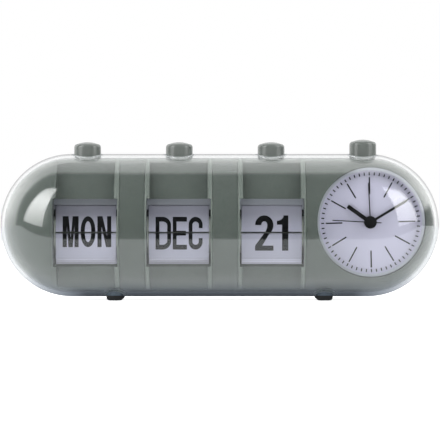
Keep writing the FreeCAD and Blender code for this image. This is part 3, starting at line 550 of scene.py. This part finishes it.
def lead_sheath():
    """Soft sheath of the two leads: red for the positive one, black for the negative one.

    A lead that is above LEAD_LEVEL or to the left of the middle is the negative one.
    """
    finish = material_finish("lead_sheath")
    place = finish.place()
    across, _, up = finish.axes(place)
    scuff = finish.grain(place, 900, 2)
    high_up = up.above(LEAD_LEVEL, 0.05 * MM)
    at_left = 1 - across.above(0.0, 0.05 * MM)
    red = finish.blend(scuff, (0.30, 0.012, 0.010), (0.38, 0.018, 0.014))
    black = finish.blend(scuff, (0.010, 0.010, 0.011), (0.020, 0.020, 0.021))
    tone = finish.blend(high_up.maths("MAXIMUM", at_left), red, black)
    return finish.show(finish.shader(Base_Color=tone, Roughness=0.45 + (scuff - 0.5) * 0.15))


def cell_sleeve():
    """Shrunk sleeve: dark along the body, copper coloured at the end with the nub, bare steel beyond."""
    finish = material_finish("cell")
    place = finish.place()
    across, _, _ = finish.axes(place)
    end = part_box("battery_cell")[1].x
    copper = across.above(end - CELL_COPPER, 0.2 * MM)
    steel = across.above(end - CELL_NUB, 0.05 * MM)
    scuff = finish.grain(place, 700, 3)
    tone = finish.blend(copper, (0.02, 0.022, 0.025), (0.55, 0.26, 0.12))
    tone = finish.blend(steel, tone, grey(0.6))
    return finish.show(finish.shader(Base_Color=tone, Roughness=0.25 + scuff * 0.15,
                                     Metallic=(copper * 0.8).maths("MAXIMUM", steel)))


FINISHES = {
    "clear_plastic": clear_cover(),
    "green_plastic": sage_housing(),
    "light_plastic": moulded("light_plastic", from_screen(172, 176, 170), 0.4),
    "acetal": moulded("acetal", from_screen(205, 205, 200), 0.35),
    "card": card_stock(),
    "dial": dial_paint(),
    "ring": dial_ring(),
    "black_hands": hand_paint(),
    "stop_plastic": card_stop(),
    "lead_sheath": lead_sheath(),
    "dark_plastic": moulded("dark_plastic", (0.016, 0.017, 0.018), 0.45),
    "foot_rubber": foot_rubber(),
    "steel": drawn_steel("steel", (0.56, 0.56, 0.57), 0.3),
    "spring_steel": drawn_steel("spring_steel", (0.62, 0.62, 0.63), 0.22, along=2),
    "board": circuit_laminate(),
    "cell": cell_sleeve(),
}
INK = printed_ink()

for part in frame["record"]["subparts"]:
    mesh = nodes[part["node"]].data
    for number in range(len(mesh.materials)):
        mesh.materials[number] = FINISHES[part["material_slot"]]


# ------------------------------------------------------------------ lettering

INK_THICKNESS = 0.03 * MM
SPLIT_GAP = 0.4 * MM       # from the split up to the front leaf, and to the words on both sides
WORD_SIZES = {             # above and below are heights from the split; aside is a shift to the right
    "weekday": {"wide": 26.9 * MM, "above": 8.95 * MM, "below": 8.0 * MM, "aside": 0.57 * MM,
                "stem": 2.3 * MM, "bar": 2.75 * MM, "gap": 1.15 * MM},
    "month": {"wide": 26.0 * MM, "above": 8.6 * MM, "below": 9.3 * MM, "aside": 0.15 * MM,
              "stem": 2.1 * MM, "bar": 2.6 * MM, "gap": 0.95 * MM},
    "date": {"wide": 18.4 * MM, "above": 9.4 * MM, "below": 9.9 * MM, "aside": 0.0,
             "stem": 3.45 * MM, "bar": 2.7 * MM, "gap": 1.9 * MM},
}


def arc(centre, across, up, start, end, steps=18):
    """Points on an ellipse: centre plus the two half axes times the cosine and sine of the angle."""
    angle = np.radians(np.linspace(start, end, steps))
    return np.stack([centre[0] + across * np.cos(angle), centre[1] + up * np.sin(angle)], 1)


def outline(*pieces):
    """One loop of points, from single points and rows of points."""
    return np.concatenate([np.atleast_2d(np.array(piece, float)) for piece in pieces])


def end_height(wide, tall):
    """Height of the round top and foot of C, D, J and U."""
    return min(wide * 0.55, tall / 2)


def letter_a(wide, tall, stem, bar):
    """Two legs that lean together under a flat top, joined by a bar, with a pointed eye above it."""
    mid = wide / 2
    foot, top = stem * 1.05, stem * 0.62
    bar_foot, bar_top = tall * 0.22, tall * 0.22 + bar

    def inside(level):
        """How far in the inner side of the left leg is at a level."""
        return foot + (mid - top) * level / tall

    legs = outline((0, 0), (mid - top, tall), (mid + top, tall), (wide, 0), (wide - foot, 0),
                   (wide - inside(bar_foot), bar_foot), (inside(bar_foot), bar_foot), (foot, 0))
    eye = outline((inside(bar_top), bar_top), (wide - inside(bar_top), bar_top), (mid, tall * 0.80))
    return [legs, eye]


def letter_c(wide, tall, stem, bar):
    """An oval ring with straight sides, open at the right between two levels."""
    mid, end = wide / 2, end_height(wide, tall)
    upper, lower = tall * 0.655, tall * 0.345
    head, foot = (mid, tall - end), (mid, end)
    across, up = mid - stem, end - bar
    return [outline((wide, upper), arc(head, mid, end, 0, 180), arc(foot, mid, end, 180, 360),
                    (wide, lower), (wide - stem, lower), arc(foot, across, up, 360, 180),
                    arc(head, across, up, 180, 0), (wide - stem, upper))]


def letter_d(wide, tall, stem, bar):
    """A straight back and a bow of two quarter ovals, and the same again further in for the eye."""
    end, start = end_height(wide, tall), wide / 2 * 0.9
    bow = wide - start
    outer = outline((0, 0), arc((start, end), bow, end, -90, 0),
                    arc((start, tall - end), bow, end, 0, 90), (0, tall))
    inner = outline((stem, bar), arc((start, end), bow - stem, end - bar, -90, 0),
                    arc((start, tall - end), bow - stem, end - bar, 0, 90), (stem, tall - bar))
    return [outer, inner]


def letter_e(wide, tall, stem, bar):
    """A stem with three bars, the middle one a little shorter."""
    arm, arm_top = wide * 0.93, (tall + bar) / 2
    return [outline((0, 0), (0, tall), (wide, tall), (wide, tall - bar), (stem, tall - bar),
                    (stem, arm_top), (arm, arm_top), (arm, arm_top - bar), (stem, arm_top - bar),
                    (stem, bar), (wide, bar), (wide, 0))]


def letter_j(wide, tall, stem, bar):
    """A stem on the right that ends in a half oval, which rises to a short end on the left."""
    mid, end, hook = wide / 2, end_height(wide, tall), tall * 0.33
    return [outline((wide, tall), (wide - stem, tall), arc((mid, end), mid - stem, end - bar, 0, -180),
                    (stem, hook), (0, hook), arc((mid, end), mid, end, 180, 360))]


def letter_m(wide, tall, stem, bar):
    """Two stems and a deep notch between them, whose arms meet in a flat point on the line."""
    mid = wide / 2
    shoulder, notch, arm, point = stem * 1.42, tall * 0.30, tall * 0.70, stem * 0.52
    return [outline((0, 0), (0, tall), (shoulder, tall), (mid, notch), (wide - shoulder, tall),
                    (wide, tall), (wide, 0), (wide - stem, 0), (wide - stem, arm), (mid + point, 0),
                    (mid - point, 0), (stem, arm), (stem, 0))]


def letter_n(wide, tall, stem, bar):
    """Two stems joined by a slanting bar."""
    shoulder = stem * 1.25
    return [outline((0, 0), (0, tall), (shoulder, tall), (wide - stem, tall * 0.34), (wide - stem, tall),
                    (wide, tall), (wide, 0), (wide - shoulder, 0), (stem, tall * 0.66), (stem, 0))]


def letter_o(wide, tall, stem, bar):
    """Two oval rings with straight sides, one inside the other."""
    mid, end = wide / 2, tall * 0.45

    def oval(across, up):
        return outline(arc((mid, tall - end), across, up, 0, 180), arc((mid, end), across, up, 180, 360))
    return [oval(mid, end), oval(mid - stem, end - bar)]


def letter_t(wide, tall, stem, bar):
    """A bar on top of a stem."""
    left, right = (wide - stem) / 2, (wide + stem) / 2
    return [outline((left, 0), (left, tall - bar), (0, tall - bar), (0, tall), (wide, tall),
                    (wide, tall - bar), (right, tall - bar), (right, 0))]


def letter_u(wide, tall, stem, bar):
    """Two stems joined by a half oval at the foot."""
    mid, end = wide / 2, end_height(wide, tall)
    return [outline((wide, tall), (wide - stem, tall), arc((mid, end), mid - stem, end - bar, 0, -180),
                    (stem, tall), (0, tall), arc((mid, end), mid, end, 180, 360))]


def figure_one(wide, tall, stem, bar):
    """A stem with a flag at its top left, whose upper side is part of an oval."""
    flag_foot, flag_top = tall * 0.735, tall * 0.735 + bar * 0.8
    sweep = arc((0, tall), wide - stem * 0.75, tall - flag_top, 270, 348, 8)
    return [outline((wide - stem, 0), (wide - stem, flag_foot), (0, flag_foot), (0, flag_top), sweep,
                    (wide - stem * 0.8, tall), (wide, tall), (wide, 0))]


def figure_two(wide, tall, stem, bar):
    """A half oval at the top, a slanting neck that starts as part of another, and a flat foot."""
    mid, end = wide / 2, wide * 0.52
    head, neck = (mid, tall - end), (mid * 0.62, tall - end)
    neck_wide = wide - mid * 0.62
    outer = outline(arc(head, mid, end, 180, 0, 20), arc(neck, neck_wide, tall * 0.34, 0, -48, 8))
    inner = outline(arc(neck, neck_wide - stem, tall * 0.27, -50, 0, 8),
                    arc(head, mid - stem, end - bar * 1.2, 0, 180, 20))
    return [outline(outer, (stem * 1.15, bar), (wide, bar), (wide, 0), (0, 0), (0, bar), inner)]


LETTERS = {                # shape of each letter, and its width against that of a T
    "A": (letter_a, 1.16), "C": (letter_c, 1.08), "D": (letter_d, 1.2), "E": (letter_e, 1.1),
    "J": (letter_j, 0.86), "M": (letter_m, 1.22), "N": (letter_n, 1.06), "O": (letter_o, 1.12),
    "T": (letter_t, 1.0), "U": (letter_u, 1.06), "1": (figure_one, 0.62), "2": (figure_two, 1.0),
}


def flat_word(word, wide, tall, stem, bar, gap):
    """Filled flat word in the XZ plane: letters side by side, centred at nought, feet at nought."""
    unit = (wide - gap * (len(word) - 1)) / sum(LETTERS[letter][1] for letter in word)
    curve = bpy.data.curves.new("word", "CURVE")
    curve.dimensions = "2D"
    curve.fill_mode = "BOTH"
    start = -wide / 2
    for letter in word:
        shape, share = LETTERS[letter]
        for loop in shape(share * unit, tall, stem, bar):
            spline = curve.splines.new("POLY")
            spline.points.add(len(loop) - 1)
            points = np.zeros((len(loop), 4))
            points[:, 0] = loop[:, 0] + start
            points[:, 1] = loop[:, 1]
            points[:, 3] = 1
            spline.points.foreach_set("co", points.ravel())
            spline.use_cyclic_u = True
        start += share * unit + gap
    holder = bpy.data.objects.new("word", curve)
    mesh = bpy.data.meshes.new_from_object(holder)
    bpy.data.objects.remove(holder)
    mesh.transform(Matrix.Rotation(math.radians(90), 4, "X"))
    return mesh


def cut_word(mesh, level, keep_upper):
    """The part of a flat word above or below a level, given the ink's thickness towards the back."""
    work = bmesh.new()
    work.from_mesh(mesh)
    bmesh.ops.remove_doubles(work, verts=work.verts, dist=1e-7)
    everything = work.verts[:] + work.edges[:] + work.faces[:]
    bmesh.ops.bisect_plane(work, geom=everything, plane_co=(0, 0, level), plane_no=(0, 0, 1),
                           clear_inner=keep_upper, clear_outer=not keep_upper)
    made = bmesh.ops.extrude_face_region(work, geom=work.faces[:])
    back = [item for item in made["geom"] if isinstance(item, bmesh.types.BMVert)]
    bmesh.ops.translate(work, verts=back, vec=(0, INK_THICKNESS, 0))
    bmesh.ops.recalc_face_normals(work, faces=work.faces)
    piece = bpy.data.meshes.new("print")
    work.to_mesh(piece)
    work.free()
    return piece


def add_object(name, data):
    """A new object at the origin, in the scene."""
    made = bpy.data.objects.new(name, data)
    bpy.context.scene.collection.objects.link(made)
    return made


def printed(name, mesh, matrix, body):
    """Puts a mesh of ink in its place and makes it ride on a body."""
    mesh.transform(matrix)
    mesh.materials.append(INK)
    piece = add_object(name, mesh)
    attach(piece, body)


def turn_about(point, degrees):
    """Rotation about an axis along X through a point."""
    to = Matrix.Translation(point)
    return to @ Matrix.Rotation(math.radians(degrees), 4, "X") @ to.inverted()


def letter_calendar(calendar, present, coming):
    """Prints the present word on the two halves in front, and the coming one on the halves behind them.

    After one press the halves behind stand where the front ones stood: the upper one has turned one card's
    step with the drum, and the lower one, on the back of the front leaf, has fallen with it.
    """
    size = WORD_SIZES[calendar]
    above, below = size["above"], size["below"]
    low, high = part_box(calendar + "_front_leaf")
    centre = (low.x + high.x) / 2 + size["aside"]
    line = low.z - SPLIT_GAP - below
    roll, fall = joints[calendar + "_roll_step"], joints[calendar + "_leaf_fall"]
    roll_axis, hinge = Vector(roll["pos_m"]), Vector(fall["pos_m"])
    step = roll["range_deg"][1]
    cards = round(360 / step)      # the joint's step is rounded, while the cards divide the turn exactly
    front = Matrix.Translation((centre, low.y - INK_THICKNESS, line))
    behind = turn_about(roll_axis, -360 / cards) @ front
    fallen = turn_about(roll_axis, step) @ turn_about(hinge, 180 - step)
    drum, leaf = calendar + "_roll", calendar + "_falling_leaf"
    halves = {
        "_word_upper": (present, True, front, leaf),
        "_word_lower": (present, False, front, drum),
        "_next_word_upper": (coming, True, behind, drum),
        "_next_word_lower": (coming, False, fallen.inverted() @ front, leaf),
    }
    for name, (word, upper, matrix, body) in halves.items():
        flat = flat_word(word, size["wide"], above + below, size["stem"], size["bar"], size["gap"])
        level = below + SPLIT_GAP if upper else below - SPLIT_GAP
        printed(calendar + name, cut_word(flat, level, upper), matrix, body)


# ------------------------------------------------------------------ dial print

DIAL_TURN = -1.35          # degrees by which the print is turned clockwise
MINUTE_MARKS = {"inner": 25.6 * MM, "outer": 27.25 * MM, "width": 0.64 * MM}
HOUR_LINES = {"inner": 15.5 * MM, "outer": 24.7 * MM, "width": 0.75 * MM}


def bars_on_dial(step, front, inner, outer, width):
    """Thin upright bars on a circle, one at each step in degrees.

    Each is a box, its sideways and outward sizes turned by its angle from twelve.
    """
    angles = np.radians(np.arange(0, 360, step)) + math.radians(DIAL_TURN)
    corner = np.array([[i, j, k] for i in (-1, 1) for j in (0, 1) for k in (0, 1)], float)
    sideways = corner[:, 0] * width / 2
    depth = front + corner[:, 1] * INK_THICKNESS
    outward = inner + corner[:, 2] * (outer - inner)
    sine, cosine = np.sin(angles)[:, None], np.cos(angles)[:, None]
    across = sideways * cosine + outward * sine
    up = -sideways * sine + outward * cosine
    points = np.stack([across, np.broadcast_to(depth, across.shape), up], 2).reshape(-1, 3)
    sides = np.array([[0, 1, 3, 2], [4, 6, 7, 5], [0, 4, 5, 1], [2, 3, 7, 6], [0, 2, 6, 4], [1, 5, 7, 3]])
    faces = (sides[None] + 8 * np.arange(len(angles))[:, None, None]).reshape(-1, 4)
    return points, faces


def print_dial():
    """Sixty short minute marks and twelve long thin hour lines."""
    centre = middle("dial_plate")
    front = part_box("dial_plate")[0].y - INK_THICKNESS
    mark_points, mark_faces = bars_on_dial(6, front, **MINUTE_MARKS)
    line_points, line_faces = bars_on_dial(30, front, **HOUR_LINES)
    points = np.concatenate([mark_points, line_points])
    faces = np.concatenate([mark_faces, line_faces + len(mark_points)])
    mesh = bpy.data.meshes.new("dial_print")
    mesh.from_pydata(points.tolist(), [], faces.tolist())
    work = bmesh.new()
    work.from_mesh(mesh)
    bmesh.ops.recalc_face_normals(work, faces=work.faces)
    work.to_mesh(mesh)
    work.free()
    printed("dial_print", mesh, Matrix.Translation((centre.x, 0, centre.z)), "case")


# ------------------------------------------------------------------ springs

def make_springs():
    """Copies of the stiff return springs in their place, while the stiff ones are hidden."""
    for name in BUTTONS:
        stiff = name + "_button_spring"
        piece = add_object(name + "_return_spring", nodes[stiff].data.copy())
        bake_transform(piece)
        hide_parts(stiff)


# ------------------------------------------------------------------ table

TABLE_HALF = 4.0           # half the width of the table
TABLE_EDGE = -121 * MM     # the part in front of this depth isn't lit
TABLE_SHINE = 1.0          # level of the lit part in a polished surface
TABLE_GLOW = 0.8           # and its own level for the camera, on top of the light that falls on it
UNDER_FRONT = -14.5 * MM   # polished surfaces see a painted shadow of the clock between these depths
UNDER_BACK = 50 * MM
UNDER_HALF = 100 * MM      # and this far to both sides of the middle


def stage_sheet(name, corners, material):
    """One sheet with four corners that belongs to the stage, not to the clock."""
    mesh = bpy.data.meshes.new(name)
    mesh.from_pydata([tuple(corner) for corner in corners], [], [(0, 1, 2, 3)])
    mesh.materials.append(material)
    sheet = add_object(name, mesh)
    return sheet


def make_table():
    """Wide pale table. Polished surfaces see its lit part only, with a painted shadow under the clock."""
    finish = material_finish("table")
    place = finish.place()
    across, deep, _ = finish.axes(place)
    fleck = finish.grain(place, 400, 2)
    camera, mirror = finish.rays("Camera", "Glossy")
    # painted shadow under the clock, seen only by polished surfaces, and bluer there
    under = deep.above(UNDER_FRONT, 15 * MM) * (1 - deep.above(UNDER_BACK, 20 * MM))
    under = under * (1 - across.size().above(UNDER_HALF, 50 * MM))
    shine = (TABLE_SHINE * (1 - under) + 0.1) * deep.above(TABLE_EDGE, 12 * MM) + 0.03
    tone = finish.blend(fleck * 0.02, grey(0.9), grey(0.84))
    matt = finish.node("ShaderNodeBsdfDiffuse", {}, {"Color": tone})
    lit = finish.node("ShaderNodeAddShader", {}, [matt, finish.glow(grey(1), camera * TABLE_GLOW)])
    polished = finish.glow(finish.blend(under, (0.96, 0.98, 1.0), (0.75, 0.85, 1.0)), shine)
    material = finish.show(finish.node("ShaderNodeMixShader", {}, [mirror, lit, polished]))
    signs = ((-1, -1), (1, -1), (1, 1), (-1, 1))
    stage_sheet("table", [(x * TABLE_HALF, y * TABLE_HALF, 0) for x, y in signs], material)


# ------------------------------------------------------------------ light

END_X = 83 * MM            # a point in the capsule's right end, mirrored for the left
END_Y = -30 * MM
END_Z = 45 * MM
PANEL_AWAY = 0.9           # from there to the corners of a panel
PANEL_BRIGHT = 0.52        # the mirrored level rises up to this height
PANEL_FADE = 0.62          # and is half way down at this one
SOFTBOXES = {              # side, level in mirrors, level for matt surfaces, directions of the corners
    "softbox_left": (-1, 6.0, 1.6, [(-0.988, -0.125, 0.0885), (-0.7206, -0.6906, -0.0594),
                                    (-0.3035, -0.4031, 0.8634), (-0.5504, -0.2384, 0.8001)]),
    "softbox_right": (1, 4.6, 0.6, [(0.995, -0.05, 0.085), (0.757, -0.648, -0.03),
                                    (0.316, -0.37, 0.875), (0.70, -0.15, 0.70)]),
}
ROOM_DARK = 0.035          # level of the unlit room
ROOM_WHITE = 1.15          # added behind the clock
ROOM_SIDE = 0.5            # and again at the sides of that
ROOM_TOP = 2.4             # light from above, from both sides and from in front, for matt surfaces only
ROOM_ACROSS = 1.1
ROOM_AHEAD = 0.35


def softbox(name, side, shown, given, corners):
    """Glowing panel: one level for what it lights, and one for polished surfaces that mirror it.

    The mirrored level is strongest above the middle and fades to both ends.
    """
    finish = material_finish(name)
    [matt] = finish.rays("Diffuse")
    _, _, up = finish.axes(finish.place())
    rise = (up / PANEL_BRIGHT).kept()
    fade = up.above(PANEL_FADE, 0.3)
    mirrored = (0.35 + rise * 0.85 - fade * 0.55) * shown
    material = finish.show(finish.glow(grey(1), matt * (given - mirrored) + mirrored))
    end = Vector((side * END_X, END_Y, END_Z))
    panel = stage_sheet(name, [end + Vector(corner) * PANEL_AWAY for corner in corners], material)
    panel.visible_camera = False
    panel.visible_shadow = False


def make_room():
    """White behind, above and at the sides, unlit in front; plain white for the camera.

    The three parts of a direction are to the right, to the back and upwards.
    """
    finish = Finish(bpy.data.worlds.new("room"))
    right, back, up = finish.axes(finish.node("ShaderNodeTexCoord", output="Generated"))
    camera, matt = finish.rays("Camera", "Diffuse")
    aside = right.size()
    start = (aside / 0.45).kept() * 0.125 + 0.065
    behind = ((back - start) / 0.10 + 0.5).kept()
    bright_sides = aside.above(0.62, 0.2) * up.above(0.12, 0.16)
    dark_stand = right.above(0.72, 0.06) * up.above(-0.09, 0.06) * (1 - up.above(0.24, 0.08))
    dim_middle = back.above(0.93, 0.09) * 0.3 + back.above(0.975, 0.02) * 0.15
    white = (ROOM_WHITE + bright_sides * ROOM_SIDE) * (1 - dark_stand * 0.95) * (1 - dim_middle)
    overhead = up.above(0.82, 0.12) * (1 - behind) * ROOM_TOP
    sideways = aside.above(0.8, 0.3) * ROOM_ACROSS
    ahead = (1 - back.above(-0.5, 0.4)) * ROOM_AHEAD
    level = ROOM_DARK + behind * white + (overhead + sideways + ahead) * matt
    level = level * (1 - camera) + camera
    colour = finish.node("ShaderNodeCombineColor", {}, [level, level, level])
    bpy.context.scene.world = finish.show(finish.node("ShaderNodeBackground", {}, {"Color": colour}))


# ------------------------------------------------------------------ camera

CAMERA_AWAY = 1.5
CAMERA_AIM = Vector((0.0002, 0, 0.0449))
SENSOR = 36.0
PICTURE_PIXELS = 440
PIXEL = 0.5619 * MM        # width that one pixel covers at the middle of the clock


def place_camera():
    """Long lens, almost level with the middle of the capsule."""
    data = bpy.data.cameras.new("camera")
    camera = add_object("camera", data)
    camera.location = CAMERA_AIM + Vector((0, -CAMERA_AWAY, 0))
    camera.rotation_euler = (math.radians(90), 0, 0)
    data.sensor_width = SENSOR
    data.lens = SENSOR * CAMERA_AWAY / (PICTURE_PIXELS * PIXEL)
    data.clip_start = 0.01
    bpy.context.scene.camera = camera


# ------------------------------------------------------------------ the whole scene

for calendar, words in CALENDARS.items():
    letter_calendar(calendar, *words)
print_dial()
make_springs()
make_table()
make_room()
for name, settings in SOFTBOXES.items():
    softbox(name, *settings)
place_camera()
bpy.context.scene.view_settings.view_transform = "Standard"
